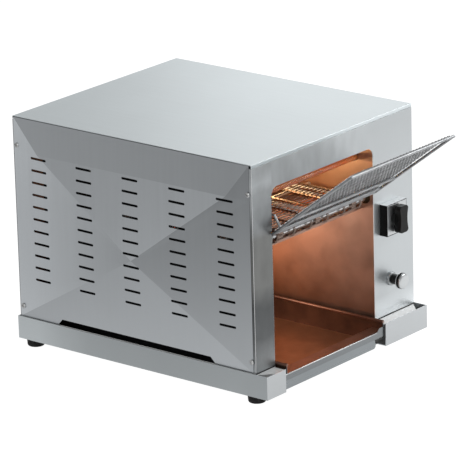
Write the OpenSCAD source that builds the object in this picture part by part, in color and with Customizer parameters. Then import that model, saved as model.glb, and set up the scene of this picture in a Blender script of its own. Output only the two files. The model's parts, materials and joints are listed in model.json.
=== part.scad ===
// Countertop conveyor toaster: a wire belt carries slices from a sloping feed
// rack between two banks of quartz heaters, and a chute returns them to a
// pull-out tray at the front. Millimetres. +X is right, -Y is the front, +Z is
// up. The origin is on the counter, under the middle of the casing.

/* [Casing] */
// Width across the two side panels
body_w = 378; // [370:1:390]
// Depth from the fascia to the rear panel
body_d = 448; // [440:1:460]
// Height of the casing above the base
body_h = 310; // [305:1:320]
// Thickness of the sheet steel
sheet = 1.2; // [1:0.1:1.4]

/* [Base] */
// Height of the base pan's rim
base_h = 35; // [34:1:38]
// Step from the casing's sides and back out to the rim
base_step = 3; // [2:0.5:5]
// Reach of the base pan ahead of the fascia
base_front = 22; // [20:1:26]
// Height of the rubber feet
foot_h = 14; // [12:1:20]
// Diameter of the rubber feet
foot_d = 28; // [24:1:32]

/* [Front opening] */
// Left edge of the opening, from the middle of the casing
open_l = -145; // [-147:1:-143]
// Right edge of the opening, from the middle of the casing
open_r = 93; // [91:1:95]
// Height of the opening above the base
open_h = 266; // [260:1:268]
// Radius of the opening's upper corners
open_round = 13; // [8:1:18]

/* [Side panels] */
// Columns of cooling slots
slot_cols = 5; // [3:2:5]
// Rows of cooling slots
slot_rows = 11; // [7:1:11]
// Length of a slot
slot_len = 30; // [24:1:34]
// Height of a slot
slot_h = 3.6; // [3:0.2:4.4]
// Distance between columns
slot_col_pitch = 87.5; // [80:0.5:90]
// Distance between rows
slot_row_pitch = 18.8; // [16:0.2:19]
// Height of the lowest row above the base
slot_low = 63; // [55:1:66]
// Height of the fold line under the upper strip
crease_z = 257; // [252:1:262]
// How far the crossed folds stand proud in the middle
crease_mid = 5; // [2:0.5:6]
// How far the fold line's ends stand proud
crease_top = 1.8; // [1:0.1:2.4]

/* [Belt] */
// Height of the belt's shafts above the base
belt_z = 187; // [183:1:190]
// Front shaft, behind the middle of the fascia opening
belt_front_y = -208; // [-209:1:-204]
// Rear shaft
belt_rear_y = 125; // [115:1:128]
// Radius of the belt's wire centres round a shaft
belt_r = 10; // [9.8:0.1:10.6]
// Left edge of the belt
belt_l = -128; // [-130:1:-120]
// Right edge of the belt
belt_rt = 71; // [60:1:73]
// Number of cross wires in the belt
belt_wires = 96; // [60:2:110]
// Radius of a cross wire
belt_wire_r = 0.8; // [0.7:0.05:0.9]

/* [Feed rack] */
// Left edge of the rack
rack_l = -149; // [-150:1:-148]
// Right edge of the rack
rack_r = 95; // [94:1:96]
// Length of the rack along its slope
rack_len = 178; // [150:1:185]
// Slope of the rack above the horizontal
rack_angle = 37.4; // [34:0.2:40]
// Number of long wires
rack_wires = 20; // [12:1:22]
// Number of cross wires
rack_rows = 9; // [5:1:10]

/* [Tray] */
// Length of the tray from front to back
tray_len = 314; // [312:1:318]
// Depth of the tray below the casing's lower edge
tray_deep = 31; // [28:1:31]

/* [Hidden] */
$fn = 48;

steel = [0.72, 0.74, 0.75];
steel_dark = [0.45, 0.46, 0.48];
bronze = [0.62, 0.38, 0.22];
black = [0.07, 0.07, 0.08];

z0 = foot_h + base_h;            // lower edge of the casing
hw = body_w / 2;
hd = body_d / 2;
top_z = z0 + body_h;
floor_z = foot_h + sheet;        // upper face of the base pan's floor
gap = 0.3;                       // working gap between parts
lip_h = 5;                       // turned-down edge of the top cover
return_d = 4.5;                  // folded edge of the fascia beside each side panel
screw_r = 2;
screw_y = hd - 7;
screw_z = [z0 + 16.5, z0 + 266];

foot_x = 172;
foot_y = 211;
gland_x = 145;
gland_z = z0 + 40;
gland_bore_r = 4.5;
block_y = 182;                   // front face of the terminal block
rear_screw_x = hw - 12;

// Base pan cut-out that the tray fills
cut_l = open_l - 3.5;
cut_r = open_r - 3.5;

// Inner walls of the toasting cavity
wall_l = open_l - 2;             // inner face of the left wall
wall_r = open_r + 1;             // inner face of the right wall
wall_top = z0 + 288;
wall_back = 205;
axis_z = z0 + belt_z;
shaft_r = 5;
run_fit = 0.03;                  // radial clearance of a running shaft
bush_r = 9;
roller_r = belt_r - belt_wire_r - 0.4;
roller_x = [belt_l + 14, (belt_l + belt_rt) / 2, belt_rt - 14];

// Heaters
tube_r = 5;
tube_stub = 14;                  // how far a tube's end stands outside the cavity
upper_tube_y = [-190, -96, -2, 92];
upper_tube_z = z0 + 246;
lower_tube_y = [-150, -60, 30];
lower_tube_r = 4.5;
sleeve_l = 18;                   // ceramic sleeve on each tube's end

// Chain drive in the right-hand compartment
chain_x = 106;
chain_pitch = 8;
wheel_teeth = 16;
pinion_teeth = 12;
wheel_r = chain_pitch / 2 / sin(180 / wheel_teeth);
pinion_r = chain_pitch / 2 / sin(180 / pinion_teeth);
motor_z = z0 + 70;
motor_r = 26;
chain_drop = axis_z - motor_z;
chain_tilt = asin((wheel_r - pinion_r) / chain_drop);
bracket_x = 111.8;
bracket_half = 40;
post_at = 33;

// Feed rack
rack_y = -hd - 3.5;              // inner cross bar
rack_z = z0 + 199;
rack_bar_r = 2.2;
rack_wire_r = 1.1;
pivot_y = -hd + 12;
pivot_z = z0 + 226;
stud_r = 3;
arm_u = 12;                      // where the hooks leave the rack
rack_brace_u = 47;               // cross bar under the mesh
arm_x = [open_l + 4, open_r - 5];

// Controls on the right of the opening
control_x = 132;
stem_r = 3;
switch_z = z0 + 151;
switch_w = 48;                   // front housing
switch_d = 13.3;
switch_body = 44;                // contact block behind the fascia
knob_z = z0 + 54.5;
knob_front = 26;
pot_r = 14;

// Tray
tray_l = open_l + 3;
tray_r = open_r - 5;
tray_front = -hd - base_front + 3;
tray_sheet = 1;
tray_floor = z0 - tray_deep;
lip_top = 9.5;                   // how far the front edge lies below the rim
apron_drop = 19.5;               // where the front edge's grip begins
tray_ledge = 20;                 // shelf behind the front edge

// Belt loop
straight = belt_rear_y - belt_front_y;
belt_length = 2 * straight + 2 * PI * belt_r;

// ---- shared shapes ----

module rod_x(x_from, x_to, y, z, r) {
    translate([x_from, y, z]) rotate([0, 90, 0]) cylinder(h = x_to - x_from, r = r);
}

// A round bar between two points in one plane of constant X.
module bar(x, from, to, r) {
    dy = to[0] - from[0];
    dz = to[1] - from[1];
    translate([x, from[0], from[1]])
        rotate([-atan2(dy, dz), 0, 0]) cylinder(h = norm([dy, dz]), r = r);
}

module slot_2d(length, height) {
    square([length - height, height], center = true);
    for (side = [-1, 1]) translate([side * (length - height) / 2, 0]) circle(d = height);
}

// A plate in the plane of the front: a flat outline, its face at y.
module front_plate(y, thick) {
    translate([0, y + thick, 0]) rotate([90, 0, 0]) linear_extrude(thick) children();
}

// A pan-head screw along +X with its head's underside at the origin.
module pan_screw(length) {
    difference() {
        union() {
            translate([-1.2, 0, 0]) rotate([0, 90, 0]) cylinder(h = 1.2, r = 3.9);
            translate([-2.4, 0, 0]) rotate([0, 90, 0]) cylinder(h = 1.2, r1 = 2.4, r2 = 3.9);
        }
        for (turn = [45, 135]) translate([-2.4, 0, 0]) rotate([turn, 0, 0])
            cube([2.4, 0.9, 4], center = true);
    }
    rotate([0, 90, 0]) cylinder(h = length, r = screw_r);
}

// A loop round two circles, the second one `drop` below the first.
module loop_2d(r_top, r_low, drop) {
    a = asin((r_top - r_low) / drop);
    circle(r = r_top);
    translate([0, -drop]) circle(r = r_low);
    polygon([[-r_top * cos(a), r_top * -sin(a)], [r_top * cos(a), r_top * -sin(a)],
        [r_low * cos(a), -drop - r_low * sin(a)], [-r_low * cos(a), -drop - r_low * sin(a)]]);
}

// ---- base ----

module base_pan() color(steel) {
    outer = [hw + base_step, hd + base_step];
    front = -hd - base_front;
    difference() {
        translate([-outer[0], front, foot_h])
            cube([2 * outer[0], outer[1] - front, base_h]);
        translate([-outer[0] + sheet, front + sheet, floor_z])
            cube([2 * (outer[0] - sheet), outer[1] - front - 2 * sheet, base_h]);
        translate([cut_l, front - 1, foot_h - 1]) cube([cut_r - cut_l, 17, base_h + 2]);
        for (x = [-1, 1], y = [-1, 1]) translate([x * foot_x, y * foot_y, foot_h - 1])
            cylinder(h = 4, r = 2.6);
    }
}

module each_foot() {
    for (x = [-1, 1], y = [-1, 1]) translate([x * foot_x, y * foot_y, 0]) children();
}

module feet() color(black) each_foot() difference() {
    union() {
        cylinder(h = 2, r1 = foot_d / 2 - 2, r2 = foot_d / 2 - 1);
        translate([0, 0, 2]) cylinder(h = foot_h - 2, r1 = foot_d / 2 - 1, r2 = foot_d / 2);
    }
    translate([0, 0, -1]) cylinder(h = foot_h + 2, r = 2.6);
    translate([0, 0, -1]) cylinder(h = 7, r = 5.6);
}

module foot_screws() color(steel_dark) each_foot() {
    translate([0, 0, 3]) cylinder(h = 3, r = 4.6);
    translate([0, 0, 6]) cylinder(h = foot_h, r = 2.5);
    translate([0, 0, floor_z]) cylinder(h = 4, d = 9, $fn = 6);
}

// Lower box that stands in the pan, with an angle post in each corner and a
// mitred flange folded forward on each side of the tray.
module chassis_frame() color(steel) {
    leg = 18;
    post = 1.5;
    box_h = z0 - 1 - floor_z;
    side_x = hw - 1.5;
    difference() {
        translate([-side_x, -hd, floor_z]) cube([2 * side_x, body_d, box_h]);
        translate([-side_x + sheet, -hd + sheet, floor_z - 1])
            cube([2 * (side_x - sheet), body_d - 2 * sheet, box_h + 2]);
        translate([open_l, -hd - 1, floor_z - 1]) cube([open_r - open_l, 4, box_h + 2]);
    }
    ledge = [side_x, -hd - base_front + sheet + 0.8];
    for (inner = [cut_l - 0.5, cut_r + 0.5])
        translate([0, 0, z0 - 1 - sheet]) linear_extrude(sheet) polygon([[inner, -hd + sheet],
            [sign(inner) * ledge[0], -hd + sheet], [sign(inner) * ledge[0], -hd],
            [sign(inner) * (ledge[0] + ledge[1] + hd), ledge[1]], [inner, ledge[1]]]);
    for (sx = [-1, 1], sy = [-1, 1]) mirror([sx > 0 ? 0 : 1, 0, 0]) mirror([0, sy > 0 ? 0 : 1, 0])
        difference() {
            union() {
                translate([side_x - post, hd - leg - 1.5, floor_z]) cube([post, leg, z0 + 296 - floor_z]);
                translate([side_x - leg, hd - 1.5 - post, floor_z]) cube([leg, post, z0 + 296 - floor_z]);
            }
            for (z = screw_z) {
                rod_x(side_x - 4, side_x + 1, screw_y, z, screw_r + 0.05);
                translate([rear_screw_x, hd - 5, z]) rotate([-90, 0, 0])
                    cylinder(h = 5, r = screw_r + 0.05);
            }
        }
}

// ---- cavity ----

module inner_wall(x) {
    difference() {
        translate([x, -hd + 1.5, floor_z]) cube([sheet, wall_back + hd - 1.5, wall_top - floor_z]);
        for (y = [belt_front_y, belt_rear_y]) rod_x(x - 1, x + sheet + 1, y, axis_z, bush_r);
        for (y = upper_tube_y) rod_x(x - 1, x + sheet + 1, y, upper_tube_z, tube_r + 0.6);
        for (y = lower_tube_y) rod_x(x - 1, x + sheet + 1, y, axis_z, lower_tube_r + 0.6);
    }
}

module left_inner_wall() color(bronze) inner_wall(wall_l - sheet);
module right_inner_wall() color(bronze) inner_wall(wall_r);

module cavity_roof() color(steel)
    translate([wall_l - sheet, -hd + 1.5, wall_top])
        cube([wall_r - wall_l + 2 * sheet, wall_back + hd - 1.5, sheet]);

// Folded sheet over the upper tubes: one shallow trough for each tube.
module upper_reflector() color(bronze) {
    half = 29;
    flank = 13;
    low = z0 + open_h + 1;
    high = low + 13;
    thick = 0.8;
    crest = [for (y = upper_tube_y) each
        [[y - half, low], [y - half + flank, high], [y + half - flank, high], [y + half, low]]];
    under = [for (i = [len(crest) - 1 : -1 : 0]) crest[i] - [0, thick]];
    translate([wall_l, 0, 0]) rotate([90, 0, 90])
        linear_extrude(wall_r - wall_l) polygon(concat(crest, under));
}

// Tray under the return run that throws the heat back up.
module lower_reflector() color(bronze) {
    z = axis_z - belt_r - 8;
    front = belt_front_y + 6;
    lip = 5;
    translate([wall_l, front, z]) cube([wall_r - wall_l, 300, sheet]);
    translate([wall_l, front, z]) cube([wall_r - wall_l, sheet, lip]);
}

// Drop behind the belt, curved bottom and slide down to the tray. Its last
// stretch is narrower, so that it ends between the tray's sides.
module toast_chute() color(bronze) difference() {
    bend = 120;
    thick = 1.2;
    notch = 5;
    arc_y = wall_back - bend;
    arc_z = z0 + 150;
    slide = 60;                  // the arc's sweep, which leaves a 30 degree slide
    end_y = arc_y + bend * cos(slide);
    end_z = arc_z - bend * sin(slide);
    run = (end_z - z0 + 1) / sin(90 - slide);
    translate([wall_l, 0, 0]) rotate([90, 0, 90])
        linear_extrude(wall_r - wall_l) {
            translate([wall_back - thick, arc_z]) square([thick, wall_top - arc_z]);
            translate([arc_y, arc_z]) intersection() {
                difference() {
                    circle(r = bend, $fn = 96);
                    circle(r = bend - thick, $fn = 96);
                }
                polygon([[0, 0], [2 * bend, 0], [2 * bend, -2 * bend],
                    [2 * bend * cos(slide), -2 * bend * sin(slide)]]);
            }
            translate([end_y, end_z]) rotate(90 - slide) translate([-run, 0]) square([run, thick]);
        }
    for (x = [wall_l - 1, tray_r - notch])
        translate([x, tray_front + tray_len - 20, z0 - 5])
            cube([x < 0 ? tray_l + notch - x : wall_r + 1 - x, 24, 20]);
}

// ---- heaters ----

// Quartz tubes with the heating coil's envelope inside and a plug at each end.
module quartz_bank(tube_y, z, r) {
    wall = 1.2;
    left = wall_l - tube_stub;
    right = wall_r + tube_stub;
    plug = 4;
    for (y = tube_y) {
        difference() {
            rod_x(left, right, y, z, r);
            rod_x(left - 1, right + 1, y, z, r - wall);
        }
        rod_x(left, right, y, z, r - wall - 0.6);
        rod_x(left, left + plug, y, z, r - wall);
        rod_x(right - plug, right, y, z, r - wall);
    }
}

module upper_heaters() color([0.95, 0.45, 0.15]) quartz_bank(upper_tube_y, upper_tube_z, tube_r);
module lower_heaters() color([0.95, 0.45, 0.15]) quartz_bank(lower_tube_y, axis_z, lower_tube_r);

module tube_sleeve(x, y, z, r) difference() {
    rod_x(x, x + sleeve_l, y, z, r + 3);
    rod_x(x - 1, x + sleeve_l + 1, y, z, r + 0.1);
}

// Ceramic sleeve outside each inner wall, one at each end of every tube.
module heater_caps() color([0.9, 0.88, 0.82])
    for (x = [wall_l - sheet - sleeve_l, wall_r + sheet]) {
        for (y = upper_tube_y) tube_sleeve(x, y, upper_tube_z, tube_r);
        for (y = lower_tube_y) tube_sleeve(x, y, axis_z, lower_tube_r);
    }

// ---- casing ----

module opening_2d() {
    width = open_r - open_l;
    translate([open_l, z0 - 2]) square([width, open_h - open_round + 2]);
    translate([open_l + open_round, z0]) square([width - 2 * open_round, open_h]);
    for (x = [open_l + open_round, open_r - open_round])
        translate([x, z0 + open_h - open_round]) circle(r = open_round);
}

module front_fascia() color(steel) {
    face_h = body_h - lip_h - gap;
    difference() {
        union() {
            front_plate(-hd, sheet) difference() {
                translate([-hw, z0]) square([body_w, face_h]);
                opening_2d();
            }
            for (x = [-hw, hw - sheet]) translate([x, -hd, z0]) cube([sheet, return_d, face_h]);
            translate([-hw, -hd, z0 + face_h - sheet]) cube([body_w, return_d, sheet]);
        }
        translate([control_x, -hd - 1, switch_z]) rotate([-90, 0, 0]) cylinder(h = 4, r = 8);
        translate([control_x, -hd - 1, knob_z]) rotate([-90, 0, 0]) cylinder(h = 4, r = 4.8);
    }
}

module top_cover() color(steel) {
    flange = 12;
    inset = 2.9;
    translate([-hw, -hd, top_z - sheet]) cube([body_w, body_d, sheet]);
    for (y = [-hd, hd - sheet]) translate([-hw, y, top_z - lip_h]) cube([body_w, sheet, lip_h]);
    for (x = [-hw + inset, hw - inset - sheet])
        translate([x, -hd + 8, top_z - flange]) cube([sheet, body_d - 16, flange]);
}

// Panel with crossed folds: the sheet bulges a little between straight edges.
// Its outer face is on the -X side, and x is its edges' plane.
module creased_panel(x) {
    y_front = -hd + return_d + gap;
    y_back = hd - sheet - gap;
    height = body_h - sheet - gap;
    knee = hd - 47;
    outer = [[0, y_front, 0], [0, y_back, 0], [0, y_back, crease_z], [0, y_back, height],
        [0, y_front, height], [0, y_front, crease_z],
        [-crease_top, knee, crease_z], [-crease_top, -knee, crease_z], [-crease_mid, 0, crease_z / 2]];
    count = len(outer);
    inner = [for (p = outer) p + [sheet, 0, 0]];
    skin = [[8, 0, 1], [8, 1, 2], [8, 2, 6], [8, 6, 7], [8, 7, 5], [8, 5, 0],
        [2, 3, 6], [6, 3, 4], [6, 4, 7], [7, 4, 5]];
    rim = [0, 1, 2, 3, 4, 5];
    edge = [for (i = [0 : 5]) each
        [[rim[i], rim[(i + 1) % 6] + count, rim[(i + 1) % 6]],
         [rim[i], rim[i] + count, rim[(i + 1) % 6] + count]]];
    translate([x, 0, z0])
        polyhedron(points = concat(outer, inner),
            faces = concat([for (f = skin) [f[0], f[1], f[2]]],
                [for (f = skin) [f[2] + count, f[1] + count, f[0] + count]], edge));
}

module side_panel(x) {
    difference() {
        creased_panel(x);
        for (col = [0 : slot_cols - 1], row = [0 : slot_rows - 1])
            translate([x - 10, (col - (slot_cols - 1) / 2) * slot_col_pitch,
                z0 + slot_low + row * slot_row_pitch])
                rotate([90, 0, 90]) linear_extrude(20) slot_2d(slot_len, slot_h);
        for (y = [-1, 1], z = screw_z) rod_x(x - 5, x + 5, y * screw_y, z, screw_r + 0.3);
        translate([x - 5, 0, z0]) rotate([90, 0, 90]) linear_extrude(10)
            polygon([[-150, -1], [150, -1], [150, 0], [141, 9.5], [-141, 9.5], [-150, 0]]);
    }
}

module left_side_panel() color(steel) side_panel(-hw);
module right_side_panel() color(steel) mirror([1, 0, 0]) side_panel(-hw);

module rear_panel() color(steel) difference() {
    translate([-hw, hd - sheet, z0]) cube([body_w, sheet, body_h - lip_h - gap]);
    for (col = [-1, 0, 1], row = [0 : 8])
        translate([col * 90, hd + 1, z0 + 120 + row * 14])
            rotate([90, 0, 0]) linear_extrude(4) slot_2d(60, 4);
    for (x = [-1, 1], z = screw_z) translate([x * rear_screw_x, hd - 4, z])
        rotate([-90, 0, 0]) cylinder(h = 8, r = screw_r + 0.3);
    translate([gland_x, hd - 4, gland_z]) rotate([-90, 0, 0]) cylinder(h = 8, r = 8.05);
}

module panel_screws() color(steel_dark) {
    for (side = [0, 1], y = [-1, 1], z = screw_z) mirror([side, 0, 0])
        translate([-hw - 0.35, y * screw_y, z]) pan_screw(8);
    for (x = [-1, 1], z = screw_z) translate([x * rear_screw_x, hd, z])
        rotate([0, 0, -90]) pan_screw(8);
}

// ---- belt ----

// Point at distance s along the belt's loop, from the front of the upper run.
function belt_point(s) =
    s < straight ? [belt_front_y + s, belt_r] :
    s < straight + PI * belt_r ?
        let (a = (s - straight) / belt_r * 180 / PI)
            [belt_rear_y + belt_r * sin(a), belt_r * cos(a)] :
    s < 2 * straight + PI * belt_r ? [belt_rear_y - (s - straight - PI * belt_r), -belt_r] :
        let (a = (s - 2 * straight - PI * belt_r) / belt_r * 180 / PI)
            [belt_front_y - belt_r * sin(a), -belt_r * cos(a)];

module track_2d(r) {
    translate([belt_front_y, -r]) square([straight, 2 * r]);
    for (y = [belt_front_y, belt_rear_y]) translate([y, 0]) circle(r = r);
}

module conveyor_belt() color(steel_dark) translate([0, 0, axis_z]) {
    strands = 6;
    strand_w = 2;
    for (i = [0 : belt_wires - 1]) {
        p = belt_point(i * belt_length / belt_wires);
        rod_x(belt_l, belt_rt, p[0], p[1], belt_wire_r);
    }
    for (i = [0 : strands - 1])
        translate([belt_l + 1 + i * (belt_rt - belt_l - strand_w - 2) / (strands - 1), 0, 0])
            rotate([90, 0, 90]) linear_extrude(strand_w) difference() {
                track_2d(belt_r + 0.5);
                track_2d(belt_r - 0.5);
            }
}

module belt_rails() color(steel) {
    rail_top = axis_z + belt_r - belt_wire_r - 0.1;
    rail_h = 3.8;
    for (y = [-105, 75]) rod_x(wall_l, wall_r, y, axis_z + 3, 3);
    for (x = roller_x) for (side = [-9, 9])
        translate([x + side - 1.5, -185, rail_top - rail_h]) cube([3, 290, rail_h]);
}

module belt_shaft(y, x_end) rod_x(wall_l - 12, x_end, y, axis_z, shaft_r);

// Wire rollers: scalloped so that the cross wires bed between the teeth.
module rollers(y) {
    for (x = roller_x) translate([x - 5, y, axis_z]) rotate([0, 90, 0]) difference() {
        cylinder(h = 10, r = roller_r);
        translate([0, 0, -1]) cylinder(h = 12, r = shaft_r);
        for (k = [0 : 7]) rotate([0, 0, 45 * k + 22.5]) translate([roller_r + 1.2, 0, -1])
            cylinder(h = 12, r = 2.2);
    }
}

module idler_shaft() color(steel) belt_shaft(belt_front_y, wall_r + 10);
module idler_rollers() color(steel_dark) rollers(belt_front_y);
module drive_shaft() color(steel) belt_shaft(belt_rear_y, chain_x + 6);
module drive_rollers() color(steel_dark) rollers(belt_rear_y);

module shaft_bushes() color([0.7, 0.5, 0.25]) {
    for (y = [belt_front_y, belt_rear_y], side = [0, 1]) {
        x = side == 0 ? wall_l - sheet : wall_r + sheet;
        out = side == 0 ? -1 : 1;
        difference() {
            union() {
                rod_x(min(x, x + out * 2), max(x, x + out * 2), y, axis_z, bush_r + 3);
                rod_x(min(x - out * 3, x), max(x - out * 3, x), y, axis_z, bush_r);
            }
            rod_x(x - 6, x + 6, y, axis_z, shaft_r + run_fit);
        }
    }
}

// ---- chain drive ----

// A toothed wheel whose seats take the chain's rollers, its axis along X.
module chain_tooth_wheel(teeth, r, bore) {
    rotate([0, 90, 0]) difference() {
        union() {
            translate([0, 0, -1.5]) cylinder(h = 3, r = r + 2.2);
            translate([0, 0, -4]) cylinder(h = 8, r = bore + 4);
        }
        for (k = [0 : teeth - 1]) rotate([0, 0, 360 * k / teeth]) translate([r, 0, -5])
            cylinder(h = 10, r = 2.6);
        translate([0, 0, -5]) cylinder(h = 10, r = bore);
    }
}

module drive_chainwheel() color(steel_dark)
    translate([chain_x, belt_rear_y, axis_z]) chain_tooth_wheel(wheel_teeth, wheel_r, shaft_r);

module motor_pinion() color(steel_dark)
    translate([chain_x, belt_rear_y, motor_z]) chain_tooth_wheel(pinion_teeth, pinion_r, 4);

module motor_shaft() color(steel) rod_x(chain_x - 6, chain_x + 24, belt_rear_y, motor_z, 4);

// Two rows of side plates with rollers on the free runs.
module drive_chain() color([0.3, 0.3, 0.32])
    translate([chain_x, belt_rear_y, axis_z]) {
        half_plate = 2.6;
        for (x = [-3.3, 2.5]) translate([x, 0, 0]) rotate([90, 0, 90]) linear_extrude(0.8)
            difference() {
                loop_2d(wheel_r + half_plate, pinion_r + half_plate, chain_drop);
                loop_2d(wheel_r - half_plate, pinion_r - half_plate, chain_drop);
            }
        for (side = [-1, 1]) rotate([-side * chain_tilt, 0, 0])
            for (k = [0 : 6])
                translate([-3.1, side * wheel_r, -32 - k * chain_pitch]) rotate([0, 90, 0])
                    cylinder(h = 6.2, r = 2.2);
    }

module motor_bracket() color(steel) difference() {
    union() {
        translate([bracket_x, belt_rear_y - bracket_half, motor_z - bracket_half])
            cube([2, 2 * bracket_half, 2 * bracket_half]);
        for (y = [-1, 1], z = [-1, 1])
            rod_x(wall_r + sheet, bracket_x, belt_rear_y + y * post_at, motor_z + z * post_at, 4);
    }
    rod_x(bracket_x - 1, bracket_x + 3, belt_rear_y, motor_z, 9.5);
}

module gearmotor() color(black) {
    box_x = bracket_x + 2;
    difference() {
        union() {
            translate([box_x, belt_rear_y - 31, motor_z - 31]) cube([22, 62, 62]);
            rod_x(bracket_x - 0.8, box_x, belt_rear_y, motor_z, 9);
            rod_x(box_x + 22, box_x + 62, belt_rear_y, motor_z, motor_r);
            rod_x(box_x + 62, box_x + 66, belt_rear_y, motor_z, 12);
        }
        rod_x(bracket_x - 2, chain_x + 24.5, belt_rear_y, motor_z, 4 + run_fit);
    }
}

// ---- electrics ----

module cord_gland() color(black) translate([gland_x, hd, gland_z]) rotate([-90, 0, 0])
    difference() {
        union() {
            cylinder(h = 5, d = 22, $fn = 6);
            translate([0, 0, 5]) cylinder(h = 8, r1 = 9.5, r2 = 7);
            translate([0, 0, -10]) cylinder(h = 11, r = 8);
            translate([0, 0, -6 - sheet]) cylinder(h = 6, d = 22, $fn = 6);
        }
        translate([0, 0, -11]) cylinder(h = 25, r = gland_bore_r);
    }

module terminal_block() color([0.92, 0.92, 0.88]) difference() {
    translate([gland_x - 20, block_y, floor_z]) cube([40, 16, 20]);
    for (k = [-1, 0, 1]) translate([gland_x + 12 * k, block_y + 8, floor_z + 14])
        cylinder(h = 8, r = 3);
}

// A wire that leaves the terminal block, runs forward along the base and turns
// up at y_end to reach z_end.
module wire(x, y_end, z_end, r) {
    low = floor_z + 6;
    bend = 10;
    translate([x, block_y, low]) rotate([90, 0, 0]) cylinder(h = block_y - y_end - bend, r = r);
    translate([x, y_end + bend, low + bend]) rotate([0, 90, 0]) rotate([0, 0, -90])
        rotate_extrude(angle = 90) translate([bend, 0]) circle(r = r);
    translate([x, y_end, low + bend]) cylinder(h = z_end - low - bend, r = r);
}

// Wires from the block to the selector switch, the speed control and the motor.
module wiring_loom() color([0.6, 0.1, 0.08]) {
    wire(control_x - 5, -190, switch_z - switch_body / 2, 2.5);
    wire(control_x, -214, knob_z - pot_r, 1.6);
    wire(gland_x + 12, belt_rear_y, motor_z - motor_r, 1.6);
}

module selector_switch() color(black) difference() {
    translate([control_x - switch_body / 2, -hd + sheet, switch_z - switch_body / 2])
        cube([switch_body, 46, switch_body]);
    translate([control_x, -hd, switch_z]) rotate([-90, 0, 0]) cylinder(h = 21, r = stem_r + run_fit);
}

module switch_housing() color(black) difference() {
    translate([control_x - switch_w / 2, -hd - switch_d, switch_z - switch_w / 2])
        cube([switch_w, switch_d, switch_w]);
    translate([control_x - switch_w / 2 + 1.1, -hd - switch_d - 1, switch_z - switch_w / 2 + 1.1])
        cube([switch_w - 2.2, 2, switch_w - 2.2]);
    translate([control_x, -hd - 20, switch_z]) rotate([-90, 0, 0]) cylinder(h = 30, r = 3.5);
}

module switch_plate() color([0.85, 0.86, 0.87]) difference() {
    plate = switch_w - 2.4;
    translate([control_x - plate / 2, -hd - switch_d - 0.2, switch_z - plate / 2])
        cube([plate, 1.2, plate]);
    translate([control_x, -hd - 20, switch_z]) rotate([-90, 0, 0]) cylinder(h = 30, r = 3.5);
}

module selector_knob() color(black) translate([control_x, 0, switch_z]) rotate([90, 0, 0]) {
    plate = hd + switch_d + 0.2;
    grip_w = 20;
    grip_h = 41;
    translate([0, 0, hd - 18]) cylinder(h = switch_d + 22, r = stem_r);
    translate([0, 0, plate + 0.4]) cylinder(h = 4, r = 13);
    translate([0, 0, plate + 2.4]) linear_extrude(11) difference() {
        union() {
            square([grip_w, grip_h - 10], center = true);
            for (y = [-1, 1]) {
                translate([0, y * (grip_h / 2 - 5)]) square([grip_w - 10, 10], center = true);
                for (x = [-1, 1]) translate([x * (grip_w / 2 - 5), y * (grip_h / 2 - 5)]) circle(r = 5);
            }
        }
        for (x = [-1, 1]) translate([x * (grip_w / 2 + 58), 0]) circle(r = 60, $fn = 96);
    }
}

module speed_control() color(black) difference() {
    translate([control_x, -hd + sheet, knob_z]) rotate([-90, 0, 0]) cylinder(h = 18, r = pot_r);
    translate([control_x, -hd, knob_z]) rotate([-90, 0, 0]) cylinder(h = 16, r = stem_r + run_fit);
}

module speed_control_nut() color(steel) translate([control_x, -hd, knob_z]) rotate([90, 0, 0])
    difference() {
        union() {
            cylinder(h = 2.2, d = 12, $fn = 6);
            translate([0, 0, -sheet]) cylinder(h = 4.4 + sheet, r = 4.7);
        }
        translate([0, 0, -3]) cylinder(h = 12, r = stem_r + run_fit);
    }

module speed_knob() color(black) translate([control_x, 0, knob_z]) rotate([90, 0, 0])
    difference() {
        union() {
            translate([0, 0, hd - 13]) cylinder(h = 24, r = stem_r);
            translate([0, 0, hd + 5]) cylinder(h = 13, r = 7.5);
            translate([0, 0, hd + 17.5]) cylinder(h = knob_front - 19, r = 11.9);
        }
        for (k = [0 : 17]) rotate([0, 0, 20 * k]) translate([12.6, 0, hd + 17])
            cylinder(h = knob_front, r = 1);
    }

module speed_knob_cap() color([0.85, 0.86, 0.87]) translate([control_x, 0, knob_z])
    rotate([90, 0, 0]) translate([0, 0, hd + knob_front - 1.5]) cylinder(h = 1.5, r = 10.8);

// ---- toast tray ----

// Front edge of the tray, with a raised corner on the right.
module tray_front_2d() {
    left = cut_l + 1;
    right = cut_r - 1;
    ear = 16;
    rise = 5;
    translate([left, z0 - apron_drop]) square([right - left, apron_drop - lip_top]);
    hull() {
        translate([right - ear, z0 - lip_top - 1]) square([ear, 1]);
        translate([right - ear + rise, z0 - lip_top + rise - 1]) square([ear - rise, 1]);
    }
}

module toast_tray() color(steel) {
    back = tray_front + tray_len;
    body_front = tray_front + tray_ledge;
    width = tray_r - tray_l;
    ledge_z = z0 - lip_top - tray_sheet;
    front_plate(tray_front, tray_sheet) tray_front_2d();
    translate([tray_l, tray_front, ledge_z]) cube([width, tray_ledge, tray_sheet]);
    translate([tray_l, body_front, tray_floor]) cube([width, tray_sheet, tray_deep - lip_top]);
    translate([tray_l, body_front, tray_floor]) cube([width, back - body_front, tray_sheet]);
    translate([tray_l, back - tray_sheet, tray_floor]) cube([width, tray_sheet, tray_deep - 4]);
    for (x = [tray_l, tray_r - tray_sheet]) {
        translate([x, body_front, tray_floor]) cube([tray_sheet, back - body_front, tray_deep + 3]);
        translate([x, tray_front + tray_sheet / 2, ledge_z])
            cube([tray_sheet, tray_ledge, lip_top + tray_sheet + 3]);
        translate([x + tray_sheet / 2, tray_front + tray_sheet / 2, z0 + 3])
            rotate([-90, 0, 0]) cylinder(h = tray_len - tray_sheet, r = 1.3);
    }
    apron();
}

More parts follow.
